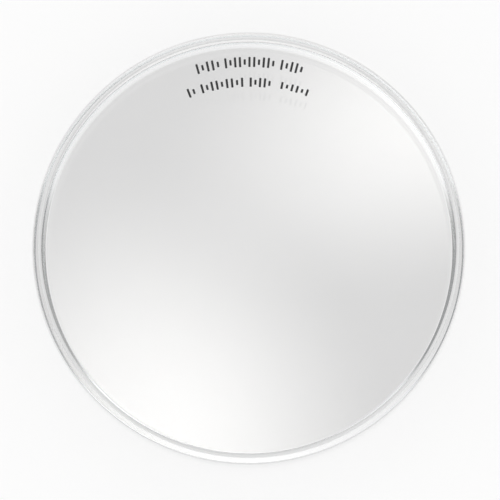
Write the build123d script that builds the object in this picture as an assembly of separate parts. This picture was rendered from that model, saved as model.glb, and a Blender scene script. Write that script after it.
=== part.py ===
from build123d import *
import os

# A dental milling disc, in millimetres: one solid round blank of clear acrylic, turned all over.
# It is a plain boss from face to face, with a wider collar round the middle of its height.
# A milling machine clamps the collar by its rim and its two shoulders, and cuts teeth out of the boss.
# The origin is the centre of the lower face, and +Z is the disc's axis.

# Driving dimensions
disc_diameter = 98.4  # over the collar
disc_thickness = 20.0  # from face to face
collar_height = 10.0  # between the two shoulders
shoulder_width = 1.7  # how far the collar stands out past the boss, all round
face_chamfer = 0.7  # round the edge of each face
collar_chamfer = 0.3  # round the two edges of the collar
tool_nose_radius = 0.25  # left by the turning tool where a boss meets its shoulder

# Places worked out from them
disc_radius = disc_diameter / 2
boss_radius = disc_radius - shoulder_width
middle_height = disc_thickness / 2


def half_slab(radius, height):
    """Half of a round slab's section, from the axis outwards, centred at the middle of the disc's height."""
    return Pos(radius / 2, middle_height) * Rectangle(radius, height)


def corners_at(section, radius):
    """The corners of the section that lie at this distance from the axis."""
    return section.vertices().filter_by_position(Axis.X, radius, radius)


def root_corners(section):
    """The two inward corners, where the boss meets the collar's shoulders."""
    lower_shoulder = middle_height - collar_height / 2
    upper_shoulder = middle_height + collar_height / 2
    return corners_at(section, boss_radius).filter_by_position(Axis.Y, lower_shoulder, upper_shoulder)


def face_corners(section):
    """The two outward corners, at the edges of the disc's faces."""
    return corners_at(section, boss_radius) - root_corners(section)


def turned_section():
    """Half of the disc's section through its axis, with every edge broken as the lathe leaves it."""
    section = half_slab(boss_radius, disc_thickness) + half_slab(disc_radius, collar_height)
    section = chamfer(face_corners(section), face_chamfer)
    section = chamfer(corners_at(section, disc_radius), collar_chamfer)
    return fillet(root_corners(section), tool_nose_radius)


def milling_disc():
    """The whole blank, turned about its axis."""
    return revolve(Plane.XZ * turned_section(), Axis.Z)


os.makedirs("parts", exist_ok=True)
export_step(milling_disc(), "parts/milling_disc.step")
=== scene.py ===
import math

import bmesh
import bpy
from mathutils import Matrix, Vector


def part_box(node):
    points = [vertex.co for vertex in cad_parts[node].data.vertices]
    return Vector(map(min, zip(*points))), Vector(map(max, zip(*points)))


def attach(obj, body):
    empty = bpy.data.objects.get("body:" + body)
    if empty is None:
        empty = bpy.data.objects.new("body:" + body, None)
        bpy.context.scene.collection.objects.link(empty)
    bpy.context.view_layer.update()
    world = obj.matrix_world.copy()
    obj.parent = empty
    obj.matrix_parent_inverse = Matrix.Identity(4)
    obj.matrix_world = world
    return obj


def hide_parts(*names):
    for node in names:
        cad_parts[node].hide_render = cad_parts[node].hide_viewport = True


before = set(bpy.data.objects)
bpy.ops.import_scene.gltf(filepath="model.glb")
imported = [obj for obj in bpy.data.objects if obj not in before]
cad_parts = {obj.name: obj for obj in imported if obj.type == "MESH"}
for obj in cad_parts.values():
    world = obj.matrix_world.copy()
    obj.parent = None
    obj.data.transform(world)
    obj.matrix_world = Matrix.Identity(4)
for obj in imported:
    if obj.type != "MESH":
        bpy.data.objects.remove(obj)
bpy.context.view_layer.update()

# The blank. A thick round slab of cast acrylic, clear with a faint tint that deepens along the view: a boss
# from face to face, and round its middle the wider collar that a milling machine clamps. It is turned on a
# lathe, all its edges are broken, and its two faces are polished.
MM = 0.001
DISC_LOW, DISC_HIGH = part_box("milling_disc")
DISC_THICKNESS = DISC_HIGH.z - DISC_LOW.z
MIDDLE_HEIGHT = DISC_THICKNESS / 2
DISC_RADIUS = 49.2 * MM
SHOULDER_WIDTH = 1.7 * MM
COLLAR_HEIGHT = 10 * MM
FACE_CHAMFER = 0.7 * MM
COLLAR_CHAMFER = 0.3 * MM
TOOL_NOSE_RADIUS = 0.25 * MM
TOOL_NOSE_SIDES = 4
BOSS_RADIUS = DISC_RADIUS - SHOULDER_WIDTH
FACE_RADIUS = BOSS_RADIUS - FACE_CHAMFER
LOWER_SHOULDER = MIDDLE_HEIGHT - COLLAR_HEIGHT / 2
UPPER_SHOULDER = MIDDLE_HEIGHT + COLLAR_HEIGHT / 2
DISC_SIDES = 360
RING_TOLERANCE = 0.01 * MM
SMOOTH_ANGLE = math.radians(30)


def deselect_all():
    """Leaves nothing selected, so that the next operator acts on its own piece alone."""
    for thing in list(bpy.context.selected_objects):
        thing.select_set(False)


def on_a_ring(vertex, rings):
    """Whether the vertex lies on one of these rings, each a radius and a height."""
    radius = math.hypot(vertex.co.x, vertex.co.y)
    return any(abs(radius - r) < RING_TOLERANCE and abs(vertex.co.z - z) < RING_TOLERANCE for r, z in rings)


def bevel_rings(rings, width, segments):
    """Bevels the edges that run round the disc on these rings."""
    bpy.ops.mesh.select_mode(type="EDGE")
    bpy.ops.mesh.select_all(action="DESELECT")
    mesh = bmesh.from_edit_mesh(bpy.context.object.data)
    for edge in mesh.edges:
        edge.select_set(all(on_a_ring(vertex, rings) for vertex in edge.verts))
    bmesh.update_edit_mesh(bpy.context.object.data)
    bpy.ops.mesh.bevel(offset=width, segments=segments, affect="EDGES")


deselect_all()
bpy.ops.mesh.primitive_cylinder_add(
    vertices=DISC_SIDES, radius=BOSS_RADIUS, depth=DISC_THICKNESS, location=(0, 0, MIDDLE_HEIGHT)
)
disc = bpy.context.object
disc.name = "turned_disc"
bpy.ops.object.transform_apply(location=True, rotation=True, scale=True)
bpy.ops.object.mode_set(mode="EDIT")
for height in (LOWER_SHOULDER, UPPER_SHOULDER):
    bpy.ops.mesh.select_all(action="SELECT")
    bpy.ops.mesh.bisect(plane_co=(0, 0, height), plane_no=(0, 0, 1))
bpy.ops.mesh.select_mode(type="FACE")
bpy.ops.mesh.select_all(action="DESELECT")
wall = bmesh.from_edit_mesh(disc.data)
for face in wall.faces:
    face_height = face.calc_center_median().z
    face.select_set(LOWER_SHOULDER < face_height < UPPER_SHOULDER)
bmesh.update_edit_mesh(disc.data)
bpy.ops.mesh.extrude_region_shrink_fatten(
    TRANSFORM_OT_shrink_fatten={"value": SHOULDER_WIDTH, "use_even_offset": True}
)
bevel_rings(((BOSS_RADIUS, 0), (BOSS_RADIUS, DISC_THICKNESS)), FACE_CHAMFER, 1)
bevel_rings(((DISC_RADIUS, LOWER_SHOULDER), (DISC_RADIUS, UPPER_SHOULDER)), COLLAR_CHAMFER, 1)
roots = ((BOSS_RADIUS, LOWER_SHOULDER), (BOSS_RADIUS, UPPER_SHOULDER))
bevel_rings(roots, TOOL_NOSE_RADIUS, TOOL_NOSE_SIDES)
bpy.ops.object.mode_set(mode="OBJECT")
bpy.ops.object.shade_smooth_by_angle(angle=SMOOTH_ANGLE)
flat_faces = disc.modifiers.new("flat_faces", "WEIGHTED_NORMAL")
flat_faces.keep_sharp = True
bpy.ops.object.modifier_apply(modifier="flat_faces")

RING_SLANT = 1.7
RING_DETAIL, RING_UNEVENNESS = 3.0, 0.6
SMUDGE_LOW, SMUDGE_HIGH = 0.45, 0.72
SMUDGE_DETAIL, SMUDGE_SWIRL = 4.0, 0.6
HAIRLINE_TURN = math.radians(34)
HAIRLINES_ACROSS, HAIRLINES_ALONG = 420.0, 26.0
HAIRLINE_WIDTH = 0.035


def feed(tree, socket, value):
    """Links another socket to this one, or sets it to a plain value."""
    if isinstance(value, bpy.types.NodeSocket):
        tree.links.new(value, socket)
    else:
        socket.default_value = value


def maths(tree, operation, *values):
    """Adds a Math node fed by sockets or plain numbers, and gives its output."""
    node = tree.nodes.new("ShaderNodeMath")
    node.operation = operation
    for socket, value in zip(node.inputs, values):
        feed(tree, socket, value)
    return node.outputs["Value"]


def mixed(tree, kind, share, first, second):
    """Adds a Mix node that goes from first, where share is 0, to second, where it is 1."""
    node = tree.nodes.new("ShaderNodeMix")
    node.data_type = kind
    feed(tree, node.inputs["Factor"], share)
    feed(tree, node.inputs["A"], first)
    feed(tree, node.inputs["B"], second)
    return node.outputs["Result"]


def ramp_between(tree, value, low, high, to_low=0.0, to_high=1.0):
    """Adds a smooth step from to_low, where value is at low, up to to_high, where it is at high."""
    node = tree.nodes.new("ShaderNodeMapRange")
    node.interpolation_type = "SMOOTHSTEP"
    tree.links.new(value, node.inputs["Value"])
    for name, number in (("From Min", low), ("From Max", high), ("To Min", to_low), ("To Max", to_high)):
        node.inputs[name].default_value = number
    return node.outputs["Result"]


def surface_marks_group():
    """What the lathe and handling leave on a surface: rings round the axis, smudges and hairlines."""
    group = bpy.data.node_groups.new("surface_marks", "ShaderNodeTree")
    for name in ("Ring Density", "Smudge Density"):
        group.interface.new_socket(name, in_out="INPUT", socket_type="NodeSocketFloat")
    for name in ("Radius", "Rings", "Smudges", "Hairlines"):
        group.interface.new_socket(name, in_out="OUTPUT", socket_type="NodeSocketFloat")
    wanted = group.nodes.new("NodeGroupInput")
    given = group.nodes.new("NodeGroupOutput")
    place = group.nodes.new("ShaderNodeTexCoord").outputs["Object"]

    parts = group.nodes.new("ShaderNodeSeparateXYZ")
    group.links.new(place, parts.inputs["Vector"])
    across = maths(group, "MULTIPLY", parts.outputs["X"], parts.outputs["X"])
    square = maths(group, "MULTIPLY_ADD", parts.outputs["Y"], parts.outputs["Y"], across)
    radius = maths(group, "SQRT", square)
    group.links.new(radius, given.inputs["Radius"])

    along_section = maths(group, "MULTIPLY_ADD", parts.outputs["Z"], RING_SLANT, radius)
    rings = group.nodes.new("ShaderNodeTexNoise")
    rings.noise_dimensions = "1D"
    rings.inputs["Detail"].default_value = RING_DETAIL
    rings.inputs["Roughness"].default_value = RING_UNEVENNESS
    group.links.new(along_section, rings.inputs["W"])
    group.links.new(wanted.outputs["Ring Density"], rings.inputs["Scale"])
    group.links.new(rings.outputs["Fac"], given.inputs["Rings"])

    smudges = group.nodes.new("ShaderNodeTexNoise")
    smudges.inputs["Detail"].default_value = SMUDGE_DETAIL
    smudges.inputs["Distortion"].default_value = SMUDGE_SWIRL
    group.links.new(place, smudges.inputs["Vector"])
    group.links.new(wanted.outputs["Smudge Density"], smudges.inputs["Scale"])
    smudge_mask = ramp_between(group, smudges.outputs["Fac"], SMUDGE_LOW, SMUDGE_HIGH)
    group.links.new(smudge_mask, given.inputs["Smudges"])

    layout = group.nodes.new("ShaderNodeMapping")
    layout.inputs["Rotation"].default_value = (0, 0, HAIRLINE_TURN)
    layout.inputs["Scale"].default_value = (HAIRLINES_ACROSS, HAIRLINES_ALONG, HAIRLINES_ALONG)
    group.links.new(place, layout.inputs["Vector"])
    cells = group.nodes.new("ShaderNodeTexVoronoi")
    cells.feature = "DISTANCE_TO_EDGE"
    cells.inputs["Scale"].default_value = 1.0
    group.links.new(layout.outputs["Vector"], cells.inputs["Vector"])
    lines = ramp_between(group, cells.outputs["Distance"], 0.0, HAIRLINE_WIDTH, 1.0, 0.0)
    kept_lines = maths(group, "MULTIPLY", lines, smudge_mask)
    group.links.new(kept_lines, given.inputs["Hairlines"])
    return group


CLEAR_TINT = (0.985, 0.980, 0.978, 1)
CLOUD_TINT = (0.958, 0.952, 0.950, 1)
CLOUD_DENSITY, CLOUD_DETAIL = 30.0, 2.0
WALL_TINT = (0.98, 0.98, 0.98, 1)
WALL_TINT_FROM, WALL_TINT_FULL = FACE_RADIUS - 0.05 * MM, FACE_RADIUS + 0.05 * MM
# Painted shade: a thin grey line at the upper face's edge and the top of its chamfer, made by darkening the
# base colour there.
PAINTED_EDGE_LINE_SHADE = (0.80, 0.80, 0.80, 1)
PAINTED_EDGE_LINE_WIDTH = 0.28 * MM
PAINTED_EDGE_LINE_BLUR = 0.1 * MM
POLISHED_ROUGHNESS = 0.025
SMUDGE_ROUGHNESS = 0.035
TURNED_ROUGHNESS = 0.08
TURNED_FROM, TURNED_FULL = BOSS_RADIUS - 0.08 * MM, BOSS_RADIUS - 0.02 * MM
SMUDGE_DENSITY = 55.0
RING_DENSITY = 2600.0
POLISHED_RING_DEPTH = 0.02
HAIRLINE_ROUGHNESS = 0.01
RING_RELIEF = 0.8e-6
ACRYLIC_IOR = 1.49
DEPTH_COLOUR = (0.855, 0.885, 0.895, 1)
DEPTH_DENSITY = 6.0

surface_marks = surface_marks_group()
acrylic = bpy.data.materials.new("clear_acrylic")
acrylic.use_nodes = True
tree = acrylic.node_tree
shader = tree.nodes["Principled BSDF"]
marks = tree.nodes.new("ShaderNodeGroup")
marks.node_tree = surface_marks
marks.inputs["Ring Density"].default_value = RING_DENSITY
marks.inputs["Smudge Density"].default_value = SMUDGE_DENSITY

place = tree.nodes.new("ShaderNodeTexCoord").outputs["Object"]
clouds = tree.nodes.new("ShaderNodeTexNoise")
clouds.inputs["Scale"].default_value = CLOUD_DENSITY
clouds.inputs["Detail"].default_value = CLOUD_DETAIL
tree.links.new(place, clouds.inputs["Vector"])
face_tint = mixed(tree, "RGBA", clouds.outputs["Fac"], CLEAR_TINT, CLOUD_TINT)
on_wall = ramp_between(tree, marks.outputs["Radius"], WALL_TINT_FROM, WALL_TINT_FULL)
tint = mixed(tree, "RGBA", on_wall, face_tint, WALL_TINT)

# The painted shade line: a darker base colour in a narrow ring at the upper face's edge, on the upper half
# only.
edge_line_from, edge_line_to = FACE_RADIUS - PAINTED_EDGE_LINE_BLUR, FACE_RADIUS + PAINTED_EDGE_LINE_WIDTH
past_face = ramp_between(tree, marks.outputs["Radius"], edge_line_from, FACE_RADIUS)
before_end = ramp_between(tree, marks.outputs["Radius"], edge_line_to, edge_line_to + PAINTED_EDGE_LINE_BLUR, 1.0, 0.0)
parts = tree.nodes.new("ShaderNodeSeparateXYZ")
tree.links.new(place, parts.inputs["Vector"])
on_top = ramp_between(tree, parts.outputs["Z"], MIDDLE_HEIGHT, UPPER_SHOULDER)
painted_edge_line = maths(tree, "MULTIPLY", maths(tree, "MULTIPLY", past_face, before_end), on_top)
tree.links.new(mixed(tree, "RGBA", painted_edge_line, tint, PAINTED_EDGE_LINE_SHADE), shader.inputs["Base Color"])

turned = ramp_between(tree, marks.outputs["Radius"], TURNED_FROM, TURNED_FULL)
smudged = maths(tree, "MULTIPLY_ADD", marks.outputs["Smudges"], SMUDGE_ROUGHNESS, POLISHED_ROUGHNESS)
polish = maths(tree, "MULTIPLY_ADD", marks.outputs["Hairlines"], HAIRLINE_ROUGHNESS, smudged)
turning = maths(tree, "MULTIPLY_ADD", marks.outputs["Rings"], TURNED_ROUGHNESS, TURNED_ROUGHNESS / 2)
tree.links.new(mixed(tree, "FLOAT", turned, polish, turning), shader.inputs["Roughness"])

ring_depth = maths(tree, "MULTIPLY_ADD", turned, 1.0 - POLISHED_RING_DEPTH, POLISHED_RING_DEPTH)
ring_height = maths(tree, "MULTIPLY", marks.outputs["Rings"], ring_depth)
relief = tree.nodes.new("ShaderNodeBump")
relief.inputs["Distance"].default_value = RING_RELIEF
tree.links.new(ring_height, relief.inputs["Height"])
tree.links.new(relief.outputs["Normal"], shader.inputs["Normal"])

shader.inputs["IOR"].default_value = ACRYLIC_IOR
shader.inputs["Transmission Weight"].default_value = 1.0
depth_tint = tree.nodes.new("ShaderNodeVolumeAbsorption")
depth_tint.inputs["Color"].default_value = DEPTH_COLOUR
depth_tint.inputs["Density"].default_value = DEPTH_DENSITY
tree.links.new(depth_tint.outputs["Volume"], tree.nodes["Material Output"].inputs["Volume"])

disc.data.materials.append(acrylic)
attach(disc, "root")
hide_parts("milling_disc")

# The print. Two curved rows of plain marks in black ink, stamped on the upper face near its edge where
# such a disc is labelled. The ink is a film a few hundredths of a millimetre thick, bonded to the face.
INK_SUNK = 0.02 * MM
INK_PROUD = 0.02 * MM
MARK_WIDTH = 0.5 * MM
MARK_PITCH = 1.12 * MM
MARK_CORNER, MARK_CORNER_SIDES = 0.12 * MM, 3
SHORT_MARK, SHORT_MARK_EVERY = 0.55, 3
OUTER_ROW_RADIUS = 41.7 * MM
INNER_ROW_RADIUS = 37.1 * MM
OUTER_ROW_GROUPS = ((-16.9, -8.8), (-7.9, 8.4), (9.6, 17.4))
INNER_ROW_GROUPS = ((-22.2, -18.6), (-17.3, -1.4), (-0.1, 8.1))
SMALL_PRINT_GROUPS = ((10.8, 21.7),)
OUTER_MARK_HEIGHT = 2.3 * MM
INNER_MARK_HEIGHT = 2.1 * MM
SMALL_MARK_HEIGHT = 1.6 * MM


def ink_mark(radius, height):
    """One upright mark with rounded corners, on the face at this radius, straight behind the axis."""
    deselect_all()
    film = INK_SUNK + INK_PROUD
    bpy.ops.mesh.primitive_cube_add(
        size=1,
        location=(0, radius, DISC_THICKNESS + (INK_PROUD - INK_SUNK) / 2),
        scale=(MARK_WIDTH, height, film),
    )
    mark = bpy.context.object
    bpy.ops.object.transform_apply(location=True, rotation=True, scale=True)
    bpy.ops.object.mode_set(mode="EDIT")
    bpy.ops.mesh.select_mode(type="EDGE")
    bpy.ops.mesh.select_all(action="DESELECT")
    mesh = bmesh.from_edit_mesh(mark.data)
    for edge in mesh.edges:
        start, end = edge.verts
        edge.select_set(abs(start.co.z - end.co.z) > film / 2)
    bmesh.update_edit_mesh(mark.data)
    bpy.ops.mesh.bevel(offset=MARK_CORNER, segments=MARK_CORNER_SIDES, affect="EDGES")
    bpy.ops.object.mode_set(mode="OBJECT")
    return mark


def ink_row(name, radius, height, groups):
    """A row of marks along an arc round the axis, long and short in turn, in groups with gaps between."""
    long_mark = ink_mark(radius, height)
    short_mark = ink_mark(radius, height * SHORT_MARK)
    copies = []
    for start, end in groups:
        span = math.radians(end - start)
        count = max(2, round(span * radius / MARK_PITCH))
        for index in range(count):
            pattern = short_mark if index % SHORT_MARK_EVERY == 1 else long_mark
            copy = bpy.data.objects.new(name, pattern.data.copy())
            copy.rotation_euler.z = -math.radians(start) - span * (index + 0.5) / count
            bpy.context.scene.collection.objects.link(copy)
            copies.append(copy)
    for pattern in (long_mark, short_mark):
        bpy.data.objects.remove(pattern)
    deselect_all()
    for copy in copies:
        copy.select_set(True)
    row = copies[0]
    bpy.context.view_layer.objects.active = row
    bpy.ops.object.transform_apply(location=True, rotation=True, scale=True)
    bpy.ops.object.join()
    return row


INK_COLOUR = (0.018, 0.018, 0.020, 1)
THIN_INK_COLOUR = (0.045, 0.045, 0.048, 1)
INK_ROUGHNESS, THIN_INK_ROUGHNESS = 0.38, 0.58
INK_MOTTLE_DENSITY = 900.0

ink = bpy.data.materials.new("black_ink")
ink.use_nodes = True
tree = ink.node_tree
shader = tree.nodes["Principled BSDF"]
marks = tree.nodes.new("ShaderNodeGroup")
marks.node_tree = surface_marks
marks.inputs["Ring Density"].default_value = RING_DENSITY
marks.inputs["Smudge Density"].default_value = INK_MOTTLE_DENSITY
thin = marks.outputs["Smudges"]
tree.links.new(mixed(tree, "RGBA", thin, INK_COLOUR, THIN_INK_COLOUR), shader.inputs["Base Color"])
tree.links.new(mixed(tree, "FLOAT", thin, INK_ROUGHNESS, THIN_INK_ROUGHNESS), shader.inputs["Roughness"])

outer_row = ink_row("print_outer_row", OUTER_ROW_RADIUS, OUTER_MARK_HEIGHT, OUTER_ROW_GROUPS)
inner_row = ink_row("print_inner_row", INNER_ROW_RADIUS, INNER_MARK_HEIGHT, INNER_ROW_GROUPS)
small_print = ink_row("print_small_marks", INNER_ROW_RADIUS, SMALL_MARK_HEIGHT, SMALL_PRINT_GROUPS)
for row in (outer_row, inner_row, small_print):
    row.data.materials.append(ink)
    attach(row, "root")

# The table. A wide sheet of white paper, which the disc lies on. It carries the disc's faint shadow and
# otherwise shows as plain white, apart from painted shade under the disc and under the sides of its collar,
# and a painted ring of light just inside the boss's edge, which show only through the clear plastic.
FLOOR_SIZE = 3.0
FLOOR_GAP = 0.05 * MM
PAPER_WHITE = (0.99, 0.99, 0.99, 1)
PAPER_ROUGHNESS = 0.9
PAPER_GLOW_SHARE = 0.9
SHADOW_REACH = (48.5 * MM, 50.8 * MM)
SHADOW_SHARE = (0.55, 0.12)
SIDES_BEARING = math.radians(22)
# Painted shade and light on the paper: darker under the disc, a painted bright ring just inside the boss's
# edge, and darker again under the collar at the sides.
PAINTED_PAPER_SHADE = (
    # radius from the disc's axis, painted brightness of the paper in front and behind, and at the two sides
    (0 * MM, 0.829, 0.829),
    (46.5 * MM, 0.829, 0.829),
    (46.9 * MM, 1.0, 1.0),
    (47.5 * MM, 1.0, 1.0),
    (48.1 * MM, 1.0, 0.66),
    (49.3 * MM, 1.0, 0.66),
    (50.4 * MM, 1.0, 1.0),
)


def seen_directly(tree):
    """Gives the Light Path node, and 1 for what is seen straight, mirrored or through the plastic."""
    path = tree.nodes.new("ShaderNodeLightPath")
    mirrored = maths(tree, "MAXIMUM", path.outputs["Is Camera Ray"], path.outputs["Is Glossy Ray"])
    return path, maths(tree, "MAXIMUM", mirrored, path.outputs["Is Transmission Ray"])


def vector_maths(tree, operation, *vectors, output="Value"):
    """Adds a Vector Math node fed by sockets or plain vectors, and gives its output."""
    node = tree.nodes.new("ShaderNodeVectorMath")
    node.operation = operation
    for socket, vector in zip(node.inputs, vectors):
        feed(tree, socket, vector)
    return node.outputs[output]


def painted_shade_ramp(tree, radius, column):
    """Gives the paper's painted shade at this radius, from one column of the painted shade table."""
    ramp = tree.nodes.new("ShaderNodeValToRGB")
    outermost = PAINTED_PAPER_SHADE[-1][0]
    tree.links.new(maths(tree, "DIVIDE", radius, outermost), ramp.inputs["Fac"])
    stops = ramp.color_ramp.elements
    while len(stops) < len(PAINTED_PAPER_SHADE):
        stops.new(1.0)
    for stop, row in zip(stops, PAINTED_PAPER_SHADE):
        stop.position = row[0] / outermost
        stop.color = (row[column], row[column], row[column], 1)
    return ramp.outputs["Color"]


deselect_all()
bpy.ops.mesh.primitive_plane_add(size=FLOOR_SIZE, location=(0, 0, -FLOOR_GAP))
floor = bpy.context.object
floor.name = "paper_table"
paper = bpy.data.materials.new("white_paper")
paper.use_nodes = True
tree = paper.node_tree
matt = tree.nodes["Principled BSDF"]
matt.inputs["Base Color"].default_value = PAPER_WHITE
matt.inputs["Roughness"].default_value = PAPER_ROUGHNESS
matt.inputs["Specular IOR Level"].default_value = 0.0
glow = tree.nodes.new("ShaderNodeEmission")
blend = tree.nodes.new("ShaderNodeMixShader")
path, seen = seen_directly(tree)
place = tree.nodes.new("ShaderNodeTexCoord").outputs["Object"]
radius = vector_maths(tree, "LENGTH", place)
outwards = vector_maths(tree, "NORMALIZE", place, output="Vector")
# The paper's painted shade and light, by radius and bearing, shown only to rays through the plastic.
sides = (math.cos(SIDES_BEARING), math.sin(SIDES_BEARING), 0)
sideways = vector_maths(tree, "DOT_PRODUCT", outwards, sides)
at_side = maths(tree, "MULTIPLY", sideways, sideways)
painted_shade = mixed(tree, "FLOAT", at_side, painted_shade_ramp(tree, radius, 1), painted_shade_ramp(tree, radius, 2))
through_plastic = path.outputs["Is Transmission Ray"]
tree.links.new(mixed(tree, "FLOAT", through_plastic, 1.0, painted_shade), glow.inputs["Strength"])
share = maths(tree, "MULTIPLY", seen, PAPER_GLOW_SHARE)
shadow = ramp_between(tree, radius, *SHADOW_REACH, *SHADOW_SHARE)
shown_shadow = maths(tree, "MULTIPLY", path.outputs["Is Camera Ray"], shadow)
tree.links.new(maths(tree, "SUBTRACT", share, shown_shadow), blend.inputs["Fac"])
tree.links.new(matt.outputs["BSDF"], blend.inputs[1])
tree.links.new(glow.outputs["Emission"], blend.inputs[2])
tree.links.new(blend.outputs["Shader"], tree.nodes["Material Output"].inputs["Surface"])
floor.data.materials.append(paper)

# The room. White, with walls a shade greyer above the table, and dark beyond the table's left and right
# ends, a little to the back. The chamfers act as prisms and show those dark ends as grey lines in the rim,
# and the walls give the clear edges their outline from the sides.
ROOM_LIGHT = 1.0
DARK_END_BEARING = math.radians(12)
DARK_END_FROM, DARK_END_FULL = 0.84, 0.95
DARK_END_FLAT, DARK_END_TOP = 0.15, 0.35
DARK_END_DIMMING = 0.63
WALL_FOOT = (0.15, 0.25)
WALL_HEAD = (0.7, 0.9)
WALL_DIMMING = 0.15
world = bpy.data.worlds.new("studio")
bpy.context.scene.world = world
world.use_nodes = True
tree = world.node_tree
path, seen = seen_directly(tree)
direction = tree.nodes.new("ShaderNodeSeparateXYZ")
tree.links.new(tree.nodes.new("ShaderNodeTexCoord").outputs["Generated"], direction.inputs["Vector"])
backwards = maths(tree, "MULTIPLY", direction.outputs["Y"], math.sin(DARK_END_BEARING))
sideways = maths(tree, "ABSOLUTE", direction.outputs["X"])
endwards = maths(tree, "MULTIPLY_ADD", sideways, math.cos(DARK_END_BEARING), backwards)
at_end = ramp_between(tree, endwards, DARK_END_FROM, DARK_END_FULL)
slope = maths(tree, "ABSOLUTE", direction.outputs["Z"])
level = ramp_between(tree, slope, DARK_END_FLAT, DARK_END_TOP, 1.0, 0.0)
dimmed = maths(tree, "MULTIPLY_ADD", maths(tree, "MULTIPLY", at_end, level), -DARK_END_DIMMING, 1.0)
above_foot = ramp_between(tree, direction.outputs["Z"], *WALL_FOOT)
below_head = ramp_between(tree, direction.outputs["Z"], *WALL_HEAD, 1.0, 0.0)
on_wall = maths(tree, "MULTIPLY", above_foot, below_head)
dimmed = maths(tree, "MULTIPLY_ADD", on_wall, -WALL_DIMMING, dimmed)
shown = maths(tree, "MAXIMUM", dimmed, path.outputs["Is Camera Ray"])
background = tree.nodes["Background"]
background.inputs["Color"].default_value = (1, 1, 1, 1)
tree.links.new(mixed(tree, "FLOAT", seen, ROOM_LIGHT, shown), background.inputs["Strength"])

# The lamps. A wide sheet of diffusing cloth hangs flat over the table, with two lamps behind it that make
# two soft pools of light. Their faint mirror image in the polished face gives it light patches at the
# lower left and the upper right. Light that has turned often inside the disc meets calmer pools.
DIFFUSER_HEIGHT = 1.2
DIFFUSER_SIZE = 0.86
DIFFUSER_MIDDLE = (0.05, 0.12)
DIFFUSER_COLOUR = (1.0, 0.99, 0.965, 1)
MOST_TURNS = 3.5
LIGHT_POOLS = (
    # x, y, half length, half width, bearing of its length, radiance at its middle
    (-0.061, -0.058, 0.201, 0.156, math.radians(103.5), 4.5),
    (0.162, 0.189, 0.251, 0.126, math.radians(22.5), 4.8),
)


def light_pool(tree, place, x, y, length, width, bearing, radiance):
    """The light of one oval pool on the cloth: brightest in its middle, fading to nothing at its edge."""
    layout = tree.nodes.new("ShaderNodeMapping")
    layout.vector_type = "TEXTURE"
    layout.inputs["Location"].default_value = (x - DIFFUSER_MIDDLE[0], y - DIFFUSER_MIDDLE[1], 0)
    layout.inputs["Rotation"].default_value = (0, 0, bearing)
    layout.inputs["Scale"].default_value = (length, width, 1)
    tree.links.new(place, layout.inputs["Vector"])
    share = vector_maths(tree, "LENGTH", layout.outputs["Vector"])
    fall = maths(tree, "SUBTRACT", 1.0, maths(tree, "MULTIPLY", share, share))
    inside = maths(tree, "MAXIMUM", fall, 0.0)
    return maths(tree, "MULTIPLY", maths(tree, "MULTIPLY", inside, inside), radiance)


deselect_all()
bpy.ops.mesh.primitive_plane_add(size=DIFFUSER_SIZE, location=(*DIFFUSER_MIDDLE, DIFFUSER_HEIGHT))
diffuser = bpy.context.object
diffuser.name = "diffuser"
diffuser.visible_camera = False
cloth = bpy.data.materials.new("diffuser_cloth")
cloth.use_nodes = True
tree = cloth.node_tree
glow = tree.nodes.new("ShaderNodeEmission")
glow.inputs["Color"].default_value = DIFFUSER_COLOUR
place = tree.nodes.new("ShaderNodeTexCoord").outputs["Object"]
pools = maths(tree, "ADD", *[light_pool(tree, place, *pool) for pool in LIGHT_POOLS])
turns = tree.nodes.new("ShaderNodeLightPath").outputs["Ray Depth"]
late = maths(tree, "GREATER_THAN", turns, MOST_TURNS)
calm = maths(tree, "MINIMUM", pools, ROOM_LIGHT)
tree.links.new(mixed(tree, "FLOAT", late, pools, calm), glow.inputs["Strength"])
tree.links.new(glow.outputs["Emission"], tree.nodes["Material Output"].inputs["Surface"])
diffuser.data.materials.append(cloth)

# The camera. It looks straight down on the disc from a little below its axis, as in the photograph.
SENSOR_WIDTH = 36
CAMERA_DISTANCE = 650 * MM
VIEW_WIDTH = 112.7 * MM
CAMERA_TILT = math.radians(3.7)
CAMERA_TURN = math.radians(0.2)
AIM = Vector((0.30 * MM, -0.96 * MM, DISC_THICKNESS))
camera_data = bpy.data.cameras.new("camera")
camera_data.sensor_width = SENSOR_WIDTH
camera_data.lens = camera_data.sensor_width * CAMERA_DISTANCE / VIEW_WIDTH
camera = bpy.data.objects.new("camera", camera_data)
bpy.context.scene.collection.objects.link(camera)
camera.rotation_euler = (CAMERA_TILT, CAMERA_TURN, 0)
camera.location = AIM + camera.rotation_euler.to_matrix() @ Vector((0, 0, CAMERA_DISTANCE))
bpy.context.scene.camera = camera
bpy.context.scene.view_settings.view_transform = "Standard"
